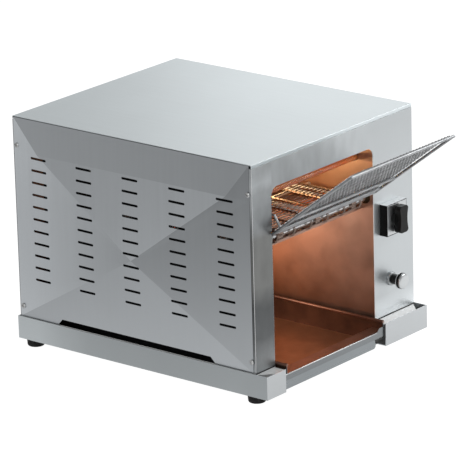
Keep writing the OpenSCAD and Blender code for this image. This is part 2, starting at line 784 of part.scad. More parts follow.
// Grip below the tray's front edge: a strip leaning out, round at its free corner.
module apron() {
    lean = 12;
    drop = 12.5;
    left = cut_l + 1.5;
    right = cut_r - 23;
    corner = 6;
    translate([0, tray_front + 0.2, z0 - apron_drop + 0.4]) rotate([-lean, 0, 0])
        translate([0, tray_sheet, 0]) rotate([90, 0, 0]) linear_extrude(tray_sheet) {
            translate([left, -drop + corner]) square([right - left, drop - corner]);
            translate([left, -drop]) square([right - left - corner, drop]);
            translate([right - corner, -drop + corner]) circle(r = corner);
        }
}

module tray_guides() color(steel_dark)
    for (x = [tray_l + 30, tray_r - 34])
        translate([x, -hd + 10, floor_z]) cube([4, 255, tray_floor - gap - floor_z]);

// ---- feed rack ----

// Children are drawn on the rack: X across, -Y down its slope from the inner bar.
module on_rack() translate([0, rack_y, rack_z]) rotate([-rack_angle, 0, 0]) children();

module rod_u(x, u_from, u_to, n, r)
    translate([x, -u_from, n]) rotate([90, 0, 0]) cylinder(h = u_to - u_from, r = r);

module rack_frame() color(steel) {
    side = [rack_l + rack_bar_r, rack_r - rack_bar_r];
    on_rack() {
        for (u = [0, rack_len]) rod_x(rack_l, rack_r, -u, 0, rack_bar_r);
        for (x = side) rod_u(x, 0, rack_len, 0, rack_bar_r);
        for (u = [arm_u, rack_brace_u]) rod_x(side[0], side[1], -u, 0, rack_bar_r);
    }
    arm_foot = [rack_y - arm_u * cos(rack_angle), rack_z + arm_u * sin(rack_angle)];
    arm_knee = [-hd - 1.5, z0 + 225];
    for (x = arm_x) {
        bar(x, arm_foot, arm_knee, 1.8);
        translate([x, arm_knee[0], arm_knee[1]]) sphere(r = 1.8);
        difference() {
            union() {
                bar(x, arm_knee, [pivot_y, pivot_z], 1.8);
                rod_x(x - 2.2, x + 2.2, pivot_y, pivot_z, stud_r + 2.4);
            }
            rod_x(x - 5, x + 5, pivot_y, pivot_z, stud_r + 0.04);
        }
    }
}

module rack_grid() color(steel_dark) {
    side = [rack_l + 2 * rack_bar_r, rack_r - 2 * rack_bar_r];
    pitch = (side[1] - side[0]) / (rack_wires + 1);
    row = rack_len / (rack_rows + 1);
    on_rack() {
        for (i = [1 : rack_wires])
            rod_u(side[0] + i * pitch, 0, rack_len, rack_bar_r + rack_wire_r, rack_wire_r);
        for (i = [1 : rack_rows])
            rod_x(side[0] - 2, side[1] + 2, -i * row, rack_bar_r - 0.6, rack_wire_r);
    }
}

module rack_studs() color(steel) {
    for (side = [0, 1]) {
        x = side == 0 ? wall_l : wall_r;
        in = side == 0 ? 1 : -1;
        far = x + in * 10;
        rod_x(min(x, far), max(x, far), pivot_y, pivot_z, stud_r);
        rod_x(min(far, far + in * 1.5), max(far, far + in * 1.5), pivot_y, pivot_z, stud_r + 1.5);
    }
}

base_pan();
feet();
foot_screws();
chassis_frame();
left_inner_wall();
right_inner_wall();
cavity_roof();
upper_reflector();
lower_reflector();
toast_chute();
upper_heaters();
lower_heaters();
heater_caps();
front_fascia();
top_cover();
left_side_panel();
right_side_panel();
rear_panel();
panel_screws();
belt_rails();
conveyor_belt();
shaft_bushes();
tray_guides();
rack_studs();
motor_bracket();
gearmotor();
drive_chain();
terminal_block();
cord_gland();
wiring_loom();
selector_switch();
switch_housing();
switch_plate();
speed_control();
speed_control_nut();
drive_shaft();
drive_rollers();
drive_chainwheel();
idler_shaft();
idler_rollers();
motor_shaft();
motor_pinion();
toast_tray();
rack_frame();
rack_grid();
selector_knob();
speed_knob();
speed_knob_cap();
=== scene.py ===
"""Countertop conveyor toaster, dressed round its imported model.

Metres; +X is right, -Y is the front and +Z is up.
"""

import json
import math

import bmesh
import bpy
from mathutils import Matrix, Vector

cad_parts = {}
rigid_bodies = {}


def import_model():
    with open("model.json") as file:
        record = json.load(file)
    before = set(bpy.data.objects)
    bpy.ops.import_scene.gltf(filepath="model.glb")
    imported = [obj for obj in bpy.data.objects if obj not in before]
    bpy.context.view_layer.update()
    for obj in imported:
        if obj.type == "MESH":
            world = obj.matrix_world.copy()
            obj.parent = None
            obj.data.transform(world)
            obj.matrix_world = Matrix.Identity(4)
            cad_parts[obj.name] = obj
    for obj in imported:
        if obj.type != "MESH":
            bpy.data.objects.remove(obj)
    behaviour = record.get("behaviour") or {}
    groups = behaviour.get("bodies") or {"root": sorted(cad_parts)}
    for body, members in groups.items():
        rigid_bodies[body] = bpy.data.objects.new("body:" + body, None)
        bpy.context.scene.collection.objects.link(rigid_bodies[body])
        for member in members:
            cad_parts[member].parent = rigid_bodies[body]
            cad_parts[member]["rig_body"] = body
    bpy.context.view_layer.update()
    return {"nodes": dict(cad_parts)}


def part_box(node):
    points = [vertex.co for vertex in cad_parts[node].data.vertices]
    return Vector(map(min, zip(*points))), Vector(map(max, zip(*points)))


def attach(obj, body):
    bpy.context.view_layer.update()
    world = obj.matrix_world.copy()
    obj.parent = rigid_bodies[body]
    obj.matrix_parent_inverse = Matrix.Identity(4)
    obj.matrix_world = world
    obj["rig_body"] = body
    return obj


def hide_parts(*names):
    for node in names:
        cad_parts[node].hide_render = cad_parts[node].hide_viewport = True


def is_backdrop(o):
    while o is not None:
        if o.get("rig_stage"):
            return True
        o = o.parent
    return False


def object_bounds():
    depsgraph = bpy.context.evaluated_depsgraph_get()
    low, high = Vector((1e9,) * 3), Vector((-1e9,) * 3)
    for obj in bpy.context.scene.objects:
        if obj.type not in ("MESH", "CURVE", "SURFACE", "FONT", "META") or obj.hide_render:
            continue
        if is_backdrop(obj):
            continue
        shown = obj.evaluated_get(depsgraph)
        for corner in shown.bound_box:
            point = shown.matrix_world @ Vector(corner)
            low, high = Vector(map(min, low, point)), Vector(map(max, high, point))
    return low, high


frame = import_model()
bpy.ops.object.select_all(action="DESELECT")
scene = bpy.context.scene
scene.view_settings.view_transform = "Standard"
MM = 0.001


# ---- Camera ----
# A long lens, well back from the counter and a little above the casing. Its
# direction and distance follow from the casing's edges as they are pictured.

bearing = math.radians(-50.68)
height_angle = math.radians(17.96)
roll = math.radians(-1.53)
backward = Vector((math.sin(bearing) * math.cos(height_angle),
                   -math.cos(bearing) * math.cos(height_angle),
                   math.sin(height_angle)))
level = Vector((math.cos(bearing), math.sin(bearing), 0.0))
upward = backward.cross(level)
picture_x = math.cos(roll) * level + math.sin(roll) * upward
picture_y = math.cos(roll) * upward - math.sin(roll) * level
looks_at = Vector((0.0344, 0.0, 0.1635))
distance = 5.9106
bpy.ops.object.camera_add()
camera = bpy.context.object
camera.data.sensor_width = 36.0
camera.data.lens = 310.7
camera.data.clip_end = 60.0
camera.matrix_world = Matrix.Translation(looks_at + distance * backward) @ Matrix(
    (picture_x, picture_y, backward)).transposed().to_4x4()
scene.camera = camera


# ---- Floor, world and lamps ----
# A white sweep that keeps the object's shadow. In reflections it is paler in
# front on the right than behind on the left, as in a studio lit from one side.


def add_node(tree, kind, **settings):
    node = tree.nodes.new("ShaderNode" + kind)
    for key, value in settings.items():
        setattr(node, key, value)
    return node


def blend_value(tree, factor, low, high):
    """low where the factor is 0, high where it is 1."""
    mix = add_node(tree, "Mix", data_type="FLOAT")
    tree.links.new(factor, mix.inputs["Factor"])
    for socket, value in (("A", low), ("B", high)):
        if isinstance(value, float):
            mix.inputs[socket].default_value = value
        else:
            tree.links.new(value, mix.inputs[socket])
    return mix.outputs["Result"]


def seen_in_metal(tree):
    """Two flags: a ray straight from the camera, and one that a reflection or a
    refraction sends out."""
    path = add_node(tree, "LightPath")
    either = add_node(tree, "Math", operation="MAXIMUM")
    tree.links.new(path.outputs["Is Glossy Ray"], either.inputs[0])
    tree.links.new(path.outputs["Is Transmission Ray"], either.inputs[1])
    return path.outputs["Is Camera Ray"], either.outputs[0]


def across(tree, vector, direction, low, high):
    """Rises from 0 to 1 along a direction, between two distances."""
    along = add_node(tree, "VectorMath", operation="DOT_PRODUCT")
    along.inputs[1].default_value = direction
    tree.links.new(vector, along.inputs[0])
    rise = add_node(tree, "MapRange")
    rise.inputs["From Min"].default_value = low
    rise.inputs["From Max"].default_value = high
    tree.links.new(along.outputs["Value"], rise.inputs["Value"])
    return rise.outputs[0]


bpy.ops.mesh.primitive_plane_add(size=40.0)
floor = bpy.context.object
floor.name = "floor"
sweep = bpy.data.materials.new("white_sweep")
sweep.use_nodes = True
tree = sweep.node_tree
paper = tree.nodes["Principled BSDF"]
paper.inputs["Base Color"].default_value = (0.80, 0.80, 0.80, 1)
paper.inputs["Roughness"].default_value = 0.9
paper.inputs["Specular IOR Level"].default_value = 0.0
camera_ray, metal_ray = seen_in_metal(tree)
place = add_node(tree, "TexCoord")
side_light = across(tree, place.outputs["Object"], (0.75, -0.66, 0.0), -0.9, 0.5)
behind_left, front_right, seen_directly, glow_share = 0.38, 1.20, 1.24, 0.78
mirrored = blend_value(tree, side_light, behind_left, front_right)
glow = add_node(tree, "Emission")
tree.links.new(blend_value(tree, camera_ray, mirrored, seen_directly), glow.inputs["Strength"])
share = add_node(tree, "Math", operation="MAXIMUM")
tree.links.new(camera_ray, share.inputs[0])
tree.links.new(metal_ray, share.inputs[1])
part_of = add_node(tree, "Math", operation="MULTIPLY")
part_of.inputs[1].default_value = glow_share
tree.links.new(share.outputs[0], part_of.inputs[0])
blend = add_node(tree, "MixShader")
tree.links.new(part_of.outputs[0], blend.inputs["Fac"])
tree.links.new(paper.outputs[0], blend.inputs[1])
tree.links.new(glow.outputs[0], blend.inputs[2])
tree.links.new(blend.outputs[0], tree.nodes["Material Output"].inputs["Surface"])
floor.data.materials.append(sweep)
floor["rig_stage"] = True

room = bpy.data.worlds.new("pale_room")
scene.world = room
room.use_nodes = True
tree = room.node_tree
for old in list(tree.nodes):
    tree.nodes.remove(old)
camera_ray, metal_ray = seen_in_metal(tree)
facing = add_node(tree, "TexCoord")
side_light = across(tree, facing.outputs["Generated"], (0.75, 0.35, 0.0), -0.9, 0.8)
left_side, right_side, on_matt_things, seen_directly = 0.40, 0.76, 0.75, 1.0
mirrored = blend_value(tree, side_light, left_side, right_side)
strength = blend_value(tree, metal_ray, on_matt_things, mirrored)
air = add_node(tree, "Background")
tree.links.new(blend_value(tree, camera_ray, strength, seen_directly), air.inputs["Strength"])
tree.links.new(air.outputs[0], add_node(tree, "OutputWorld").inputs["Surface"])


def lamp_at(name, place, aim, size, watts, colour=(1, 1, 1)):
    """A soft square lamp that lights things but that the camera doesn't see."""
    bpy.ops.object.light_add(type="AREA", location=place)
    lamp = bpy.context.object
    lamp.name = name
    lamp.data.size = size
    lamp.data.energy = watts
    lamp.data.color = colour
    lamp.rotation_euler = (Vector(aim) - Vector(place)).to_track_quat("-Z", "Y").to_euler()
    lamp.visible_camera = False
    return lamp


middle = (0.0, 0.0, 0.2)
lamp_at("key_lamp", (1.9, -1.5, 1.7), middle, 1.4, 30.0)
lamp_at("rear_lamp", (2.75, 1.75, 1.3), middle, 1.0, 3.4)
lamp_at("fill_lamp", (-2.2, -1.4, 1.6), middle, 1.8, 12.0)


# ---- Base pan ----
# An open-topped pan that the whole machine stands in, folded from brushed
# stainless sheet. Its front is cut away between two blocks for the tray.


def alone(piece):
    """Select one object and nothing else."""
    if bpy.context.object and bpy.context.object.mode != "OBJECT":
        bpy.ops.object.mode_set(mode="OBJECT")
    bpy.ops.object.select_all(action="DESELECT")
    piece.select_set(True)
    bpy.context.view_layer.objects.active = piece


def merged_copy(node, name):
    """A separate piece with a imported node's shape, its loose triangles joined."""
    piece = bpy.data.objects.new(name, frame["nodes"][node].data.copy())
    scene.collection.objects.link(piece)
    piece.data.materials.clear()
    alone(piece)
    bpy.ops.object.mode_set(mode="EDIT")
    bpy.ops.mesh.select_all(action="SELECT")
    bpy.ops.mesh.remove_doubles(threshold=0.01 * MM)
    bpy.ops.mesh.dissolve_limited(angle_limit=math.radians(0.2))
    bpy.ops.object.mode_set(mode="OBJECT")
    return piece


def round_edges(piece, width, sharper_than=30.0, steps=2):
    """Round the folds and cut edges, and keep the flats between them flat."""
    bevel = piece.modifiers.new("edge", "BEVEL")
    bevel.width = width
    bevel.segments = steps
    bevel.limit_method = "ANGLE"
    bevel.angle_limit = math.radians(sharper_than)
    alone(piece)
    bpy.ops.object.modifier_apply(modifier="edge")
    bpy.ops.object.shade_smooth_by_angle(angle=math.radians(35))


def keep_flats(piece):
    """Shade each large face flat and let its rounded edges take up the turn."""
    flats = piece.modifiers.new("flats", "WEIGHTED_NORMAL")
    flats.weight = 100
    flats.keep_sharp = True
    alone(piece)
    bpy.ops.object.modifier_apply(modifier="flats")


def body_of(node):
    return frame["nodes"][node]["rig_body"]


def settle(piece, body, slot, *finishes):
    """Give a piece its finishes and the body that it rides on. The slot is not used."""
    for finish in finishes:
        piece.data.materials.append(finish)
    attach(piece, body)


def dress(node, name, width, finish, slot, sharper_than=30.0, steps=2):
    """Stand a round-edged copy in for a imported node, on the same body."""
    piece = merged_copy(node, name)
    round_edges(piece, width, sharper_than, steps)
    keep_flats(piece)
    settle(piece, body_of(node), slot, finish)
    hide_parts(node)
    return piece


def new_finish(name, metallic, roughness):
    """A material, its node tree and its surface shader."""
    finish = bpy.data.materials.new(name)
    finish.use_nodes = True
    skin = finish.node_tree.nodes["Principled BSDF"]
    skin.inputs["Metallic"].default_value = metallic
    skin.inputs["Roughness"].default_value = roughness
    return finish, finish.node_tree, skin


def grey(value):
    return (value, value, value)


def object_place(tree):
    return add_node(tree, "TexCoord").outputs["Object"]


def axes(tree):
    """The object's own X, Y and Z in metres, by name."""
    split = add_node(tree, "SeparateXYZ")
    tree.links.new(object_place(tree), split.inputs[0])
    return split.outputs


def noise(tree, scale, detail=2.0, stretch=(1, 1, 1)):
    """Noise on the object's own coordinates, in metres."""
    spread = add_node(tree, "Mapping")
    spread.inputs["Scale"].default_value = stretch
    field = add_node(tree, "TexNoise")
    field.inputs["Scale"].default_value = scale
    field.inputs["Detail"].default_value = detail
    tree.links.new(object_place(tree), spread.inputs["Vector"])
    tree.links.new(spread.outputs[0], field.inputs["Vector"])
    return field.outputs["Fac"]


def ramp(tree, source, stops):
    """Colours at the given places between 0 and 1 of the source."""
    scale = add_node(tree, "ValToRGB")
    while len(scale.color_ramp.elements) < len(stops):
        scale.color_ramp.elements.new(0.5)
    for mark, (place, colour) in zip(scale.color_ramp.elements, stops):
        mark.position = place
        mark.color = (*colour, 1)
    tree.links.new(source, scale.inputs["Fac"])
    return scale.outputs["Color"]


def span(tree, source, low, high, out_low=0.0, out_high=1.0):
    """Map a stretch of the source onto another stretch."""
    fit = add_node(tree, "MapRange")
    for socket, value in zip(("From Min", "From Max", "To Min", "To Max"),
                             (low, high, out_low, out_high)):
        fit.inputs[socket].default_value = value
    tree.links.new(source, fit.inputs["Value"])
    return fit.outputs[0]


def mixed(tree, kind, factor, a, b):
    """Two colours blended; each may be a colour or a node's output."""
    mix = add_node(tree, "Mix", data_type="RGBA", blend_type=kind)
    if isinstance(factor, float):
        mix.inputs["Factor"].default_value = factor
    else:
        tree.links.new(factor, mix.inputs["Factor"])
    for socket, colour in ((6, a), (7, b)):
        if isinstance(colour, tuple):
            mix.inputs[socket].default_value = (*colour, 1)
        else:
            tree.links.new(colour, mix.inputs[socket])
    return mix.outputs[2]


def multiplied(tree, first, *others):
    """The product of several colours."""
    for other in others:
        first = mixed(tree, "MULTIPLY", 1.0, first, other)
    return first


def relief(tree, skin, height, strength, depth):
    """Bump up to a depth in metres."""
    bump = add_node(tree, "Bump")
    bump.inputs["Strength"].default_value = strength
    bump.inputs["Distance"].default_value = depth
    tree.links.new(height, bump.inputs["Height"])
    tree.links.new(bump.outputs[0], skin.inputs["Normal"])


def brushed(name, colour, roughness, grain=(1, 1, 1), mottle=0.06, tone=None, metallic=1.0,
            uneven=0.045):
    """Brushed sheet: fine scratches, wider streaks and a cloudiness from rolling."""
    finish, tree, skin = new_finish(name, metallic, roughness)
    scratches = noise(tree, 1600.0, 2.0, grain)
    streaks = noise(tree, 170.0, 3.0, grain)
    clouds = noise(tree, 7.0, 3.0)
    lines = ramp(tree, streaks, ((0.3, grey(0.97)), (0.7, grey(1.0))))
    cloud = ramp(tree, clouds, ((0.3, tuple(c * (1 - mottle) for c in colour)), (0.7, colour)))
    shade = multiplied(tree, cloud, lines)
    if tone:
        shade = multiplied(tree, shade, tone(tree))
    tree.links.new(shade, skin.inputs["Base Color"])
    tree.links.new(span(tree, streaks, 0.3, 0.7, roughness - uneven, roughness + uneven),
                   skin.inputs["Roughness"])
    relief(tree, skin, scratches, 0.07, 0.02 * MM)
    return finish


edge_width = 0.35 * MM
base_steel = brushed("base_brushed", (0.585, 0.61, 0.625), 0.36, (0.03, 0.03, 1), metallic=0.85)


def repaint(piece, finish, chosen):
    """Give another finish to the faces that a test chooses."""
    piece.data.materials.append(finish)
    for face in piece.data.polygons:
        if chosen(face):
            face.material_index = len(piece.data.materials) - 1


def rim_tone(tree):
    """Painted reflection: darker along the side and at the front, paler towards the back."""
    front_y, back_y = -0.246, 0.234
    return ramp(tree, span(tree, axes(tree)["Y"], front_y, back_y),
                ((0.0, grey(0.62)), (0.12, grey(0.65)), (0.41, grey(0.64)), (0.60, grey(0.66)),
                 (0.70, grey(0.69)), (0.80, grey(0.80)), (0.90, grey(0.97)), (1.0, grey(1.0))))


# The pan's side faces get a paler copy of its brushed steel, graded from front to back: painted
# reflection.
side_rim = brushed("base_side_painted_reflection", (0.665, 0.71, 0.73), 0.36, (0.03, 0.03, 1), 0.04, rim_tone,
                   0.85)
pan = dress("base_pan", "base_pan_sheet", 0.6 * MM, base_steel, "base_steel")
repaint(pan, side_rim, lambda face: abs(face.normal.x) > 0.6)


# ---- Feet ----
# Four moulded rubber feet, each held by a screw through its middle and a nut on
# the pan's floor.


def skin_of(finish):
    return finish.node_tree.nodes["Principled BSDF"]


def mottled(name, metallic, roughness, pattern, dark, pale, specular=0.5):
    """A finish in two tones. The pattern is a noise's scale and detail, and each tone
    comes with its place on that noise."""
    finish, tree, skin = new_finish(name, metallic, roughness)
    skin.inputs["Specular IOR Level"].default_value = specular
    tree.links.new(ramp(tree, noise(tree, *pattern), (dark, pale)), skin.inputs["Base Color"])
    return finish


rubber = mottled("foot_rubber_moulded", 0.0, 0.7, (180.0, 4.0),
                 (0.35, grey(0.010)), (0.75, grey(0.028)), specular=0.2)
dress("feet", "feet_moulded", 1.2 * MM, rubber, "foot_rubber", steps=3)

zinc = mottled("bright_zinc", 1.0, 0.28, (400.0, 3.0),
               (0.3, (0.42, 0.43, 0.44)), (0.7, (0.66, 0.66, 0.65)))
for node in ("foot_screws", "speed_control_nut"):
    dress(node, node + "_turned", 0.2 * MM, zinc, "fastener")


# ---- Chassis ----
# The box and corner posts that stand in the pan and carry everything, folded from
# pickled sheet. Its pale flange shows over the pan's front rim; its left part is a darker copy of
# that sheet, as painted shade.


def on_left_flange(face):
    return face.center.x < -0.14 and face.center.y < -0.2235 and face.normal.z > 0.5


pickled = brushed("pickled_sheet", (0.90, 0.91, 0.91), 0.45, (1, 1, 1), 0.04, metallic=0.0)
for node in ("chassis_frame", "cavity_roof", "belt_rails", "tray_guides", "motor_bracket"):
    dress(node, node + "_sheet", 0.3 * MM, pickled, "frame_steel")
handled = brushed("pickled_painted_shade", (0.60, 0.615, 0.62), 0.45, (1, 1, 1), 0.04, metallic=0.0)
# The left part of the flange: a darker copy of the pickled sheet, as painted shade.
repaint(bpy.data.objects["chassis_frame_sheet"], handled, on_left_flange)


# ---- Toasting cavity ----
# Inner walls, reflectors and chute in bright stainless that the heat has tinted
# straw and copper, with stains in uneven clouds and painted shade that darkens them towards the
# bottom.


def wavering(tree, source, field, depth):
    """A distance with a noise field added to it, up to a depth in metres."""
    total = add_node(tree, "Math", operation="MULTIPLY_ADD")
    total.inputs[1].default_value = depth
    tree.links.new(field, total.inputs[0])
    tree.links.new(source, total.inputs[2])
    return total.outputs[0]


def heat_tinted(name, deep, near, roughness, metallic):
    """Sheet tinted by heat: one colour deep inside, another near the opening, with
    stains in uneven clouds, and painted shade that darkens it towards the bottom."""
    finish, tree, skin = new_finish(name, metallic, roughness)
    at = axes(tree)
    inward = wavering(tree, at["Y"], noise(tree, 14.0, 3.0), 0.06)
    tint = ramp(tree, span(tree, inward, -0.15, 0.02), ((0.0, near), (1.0, deep)))
    # Painted shade: darker towards the bottom, in uneven clouds.
    rise = wavering(tree, at["Z"], noise(tree, 20.0, 3.0), 0.03)
    baked = ramp(tree, span(tree, rise, 0.055, 0.155),
                 ((0.0, grey(0.22)), (0.30, grey(0.50)), (0.75, grey(1.0))))
    stains = ramp(tree, noise(tree, 30.0, 5.0), ((0.32, grey(0.84)), (0.58, grey(1.0))))
    tree.links.new(multiplied(tree, tint, stains, baked), skin.inputs["Base Color"])
    tree.links.new(span(tree, noise(tree, 40.0, 4.0), 0.3, 0.7, roughness - 0.08, roughness + 0.1),
                   skin.inputs["Roughness"])
    relief(tree, skin, noise(tree, 900.0, 2.0, (1, 1, 0.05)), 0.1, 0.02 * MM)
    return finish


cavity_wall = heat_tinted("heat_tint_painted_shade_wall", (0.50, 0.21, 0.10), (0.42, 0.25, 0.185), 0.40, 0.6)
for node in ("left_inner_wall", "right_inner_wall", "upper_reflector", "lower_reflector",
             "toast_chute"):
    dress(node, node + "_tinted", 0.3 * MM, cavity_wall, "cavity_steel")
# The walls' backs, facing the closed side compartments, get a dark copy of brushed steel as painted
# shade.
dull_back = brushed("wall_back_painted_shade_steel", (0.10, 0.105, 0.11), 0.5)
for node, outward in (("left_inner_wall", -1), ("right_inner_wall", 1)):
    repaint(bpy.data.objects[node + "_tinted"], dull_back,
            lambda face: face.normal.x * outward > 0.5)

# The coils' light falls on the right wall above and below the belt, and on the tray.
lamp_at("coil_glow_above", (-0.030, -0.09, 0.278), (0.094, -0.10, 0.285), 0.045, 0.17,
        (1.0, 0.70, 0.36))
lamp_at("coil_glow_below", (-0.120, 0.05, 0.150), (0.10, -0.02, 0.135), 0.12, 0.30,
        (1.0, 0.80, 0.66))
lamp_at("coil_glow_tray", (-0.028, -0.05, 0.205), (-0.028, -0.10, 0.02), 0.20, 0.15,
        (1.0, 0.66, 0.46))


# ---- Heaters ----
# Quartz tubes pinched shut at both ends, each with a glowing coil inside. They
# rest in ceramic sleeves outside the cavity's walls.


def wire_piece(name, runs, radius, sides=1):
    """Round wires along lists of points, as one mesh."""
    curve = bpy.data.curves.new(name, "CURVE")
    curve.dimensions = "3D"
    curve.bevel_depth = radius
    curve.bevel_resolution = sides
    curve.use_fill_caps = True
    for run in runs:
        line = curve.splines.new("POLY")
        line.points.add(len(run) - 1)
        for point, place in zip(line.points, run):
            point.co = (*place, 1.0)
    piece = bpy.data.objects.new(name, curve)
    scene.collection.objects.link(piece)
    alone(piece)
    bpy.ops.object.convert(target="MESH")
    bpy.ops.object.mode_set(mode="EDIT")
    bpy.ops.mesh.select_all(action="SELECT")
    bpy.ops.mesh.remove_doubles(threshold=0.001 * MM)
    bpy.ops.mesh.normals_make_consistent(inside=False)
    bpy.ops.object.mode_set(mode="OBJECT")
    bpy.ops.object.shade_smooth_by_angle(angle=math.radians(50))
    return bpy.context.object


def joined(pieces, name):
    """Several like pieces as one object."""
    bpy.ops.object.select_all(action="DESELECT")
    for piece in pieces:
        piece.select_set(True)
    bpy.context.view_layer.objects.active = pieces[0]
    if len(pieces) > 1:
        bpy.ops.object.join()
    pieces[0].name = name
    return pieces[0]


def cylinder(vertices, radius, length, centre, along):
    """A plain cylinder along X or Y, with its transform applied."""
    quarter = math.radians(90)
    turn = (0, quarter, 0) if along == "X" else (quarter, 0, 0)
    bpy.ops.mesh.primitive_cylinder_add(vertices=vertices, radius=radius, depth=length,
                                        location=centre, rotation=turn)
    bpy.ops.object.transform_apply(location=True, rotation=True, scale=True)
    return bpy.context.object


def pick_end(piece, axis, place):
    """Select a cylinder's end face, in edit mode."""
    bpy.ops.object.mode_set(mode="EDIT")
    bpy.ops.mesh.select_all(action="DESELECT")
    bpy.ops.object.mode_set(mode="OBJECT")
    for face in piece.data.polygons:
        face.select = len(face.vertices) > 4 and abs(face.center[axis] - place) < 0.1 * MM
    bpy.ops.object.mode_set(mode="EDIT")


def extrude(offset):
    bpy.ops.mesh.extrude_region_move(TRANSFORM_OT_translate={"value": offset})


def quartz_tube(x_from, x_to, y, z, radius):
    """A tube along X whose ends are pinched to a stub."""
    stub = 3 * MM
    tube = cylinder(24, radius, x_to - x_from - 2 * stub, ((x_from + x_to) / 2, y, z), "X")
    for end, outward in ((x_from + stub, -1), (x_to - stub, 1)):
        pick_end(tube, 0, end)
        extrude((outward * 1.2 * MM, 0, 0))
        bpy.ops.transform.resize(value=(1, 0.55, 0.55))
        extrude((outward * 1.8 * MM, 0, 0))
    bpy.ops.object.mode_set(mode="OBJECT")
    round_edges(tube, 0.3 * MM)
    return tube


def coil_in(x_from, x_to, y, z, radius, pitch):
    """A closely wound coil along X."""
    per_turn = 10
    count = int((x_to - x_from) / pitch) * per_turn
    return [(x_from + (x_to - x_from) * k / count,
             y + radius * math.cos(2 * math.pi * k / per_turn),
             z + radius * math.sin(2 * math.pi * k / per_turn)) for k in range(count + 1)]


quartz = mottled("quartz_clear", 0.0, 0.06, (60.0, 1.0),
                 (0.3, (1.0, 0.78, 0.60)), (0.7, (1.0, 0.90, 0.78)))
skin_of(quartz).inputs["Transmission Weight"].default_value = 0.9
hot_wire, tree, skin = new_finish("glowing_coil", 0.0, 0.5)
hot = ramp(tree, noise(tree, 25.0, 1.0), ((0.3, (1.0, 0.26, 0.04)), (0.7, (1.0, 0.40, 0.10))))
tree.links.new(hot, skin.inputs["Base Color"])
tree.links.new(hot, skin.inputs["Emission Color"])
skin.inputs["Emission Strength"].default_value = 0.10
cold_end = 12 * MM
coil_gap = 1.6 * MM
coil_pitch = 2.6 * MM
coil_wire = 0.45 * MM
for node, tube_radius, rows in (("upper_heaters", 5.0 * MM, (-190, -96, -2, 92)),
                                ("lower_heaters", 4.5 * MM, (-150, -60, 30))):
    low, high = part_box(node)
    level_z = (low.z + high.z) / 2
    tubes = [quartz_tube(low.x, high.x, row * MM, level_z, tube_radius) for row in rows]
    bank = joined(tubes, node + "_quartz")
    settle(bank, "casing", "quartz", quartz)
    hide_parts(node)
    windings = [coil_in(low.x + cold_end, high.x - cold_end, row * MM, level_z,
                        tube_radius - coil_gap, coil_pitch) for row in rows]
    coils = wire_piece(node + "_coils", windings, coil_wire, 0)
    settle(coils, "casing", "quartz", hot_wire)

ceramic = mottled("ceramic_sleeve", 0.0, 0.6, (300.0, 4.0),
                  (0.3, (0.62, 0.58, 0.50)), (0.7, (0.80, 0.78, 0.72)))
dress("heater_caps", "heater_caps_fired", 0.6 * MM, ceramic, "ceramic")


# ---- Fascia ----
# The front plate round the opening, in brushed stainless. Painted light and shade
# vary its tone beside and above the opening, darkest on the left, with random smears.

opening_left = -0.144


def clouded_left(tree):
    """Painted light and shade: darker towards the left, and darkest in the column left of
    the opening, which has painted shade and painted reflections of its own from its foot
    to its top. Random smears lie left of the right column. The right column has a painted
    reflection that pales its foot, and painted shade that dulls its top."""
    at = axes(tree)
    # Painted shade, darker towards the left.
    drift = wavering(tree, at["X"], noise(tree, 16.0, 4.0, (1, 1, 0.5)), 0.10)
    band = ramp(tree, span(tree, drift, -0.05, 0.16),
                ((0.0, grey(0.93)), (0.45, grey(0.98)), (1.0, grey(1.0))))
    rise = wavering(tree, at["Z"], noise(tree, 22.0, 4.0), 0.03)
    # Painted shade and painted reflections up the column left of the opening.
    column = ramp(tree, span(tree, rise, 0.064, 0.374),
                  ((0.0, grey(0.74)), (0.094, grey(0.40)), (0.168, grey(0.23)), (0.30, grey(0.19)),
                   (0.40, (0.35, 0.34, 0.325)), (0.64, (0.34, 0.33, 0.315)), (0.70, grey(0.48)),
                   (0.787, grey(0.90)), (0.85, grey(0.94)), (0.90, grey(1.20)), (0.96, grey(0.95))))
    past_column = span(tree, at["X"], opening_left - 0.5 * MM, opening_left + 0.5 * MM)
    beside = mixed(tree, "MIX", past_column, column, grey(1.0))
    smears = ramp(tree, noise(tree, 26.0, 4.0, (1.6, 1, 0.7)),
                  ((0.36, grey(0.90)), (0.62, grey(1.04))))
    on_right = span(tree, at["X"], 0.02, 0.10)
    smeared = mixed(tree, "MIX", on_right, smears, grey(1.0))
    # Painted reflection pales the right column's foot; painted shade dulls its top.
    right_tones = ramp(tree, span(tree, at["Z"], 0.05, 0.34),
                       ((0.0, grey(1.45)), (0.05, grey(1.25)), (0.11, grey(1.0)),
                        (0.62, grey(1.0)), (1.0, grey(0.88))))
    right_column = mixed(tree, "MIX", on_right, grey(1.0), right_tones)
    return multiplied(tree, band, beside, smeared, right_column)


def on_worn_fold(face):
    """The outer fold's round, and the cut edge left of the opening, which carry a painted
    highlight.
    """
    on_round = 0.25 < abs(face.normal.x) < 0.97 and face.normal.y < -0.2
    return on_round or (face.normal.x > 0.5 and face.center.x < -0.14)


fascia_steel = brushed("fascia_brushed", (0.585, 0.615, 0.63), 0.40, (1, 1, 0.03), 0.05,
                       clouded_left, 0.9)
fascia = dress("front_fascia", "front_fascia_sheet", edge_width, fascia_steel, "casing_steel")
# A paler, smoother copy of the fascia's steel on these faces: painted highlight.
worn_fold = brushed("fascia_fold_painted_highlight", (0.86, 0.87, 0.88), 0.30, (1, 1, 0.03), 0.03)
repaint(fascia, worn_fold, on_worn_fold)

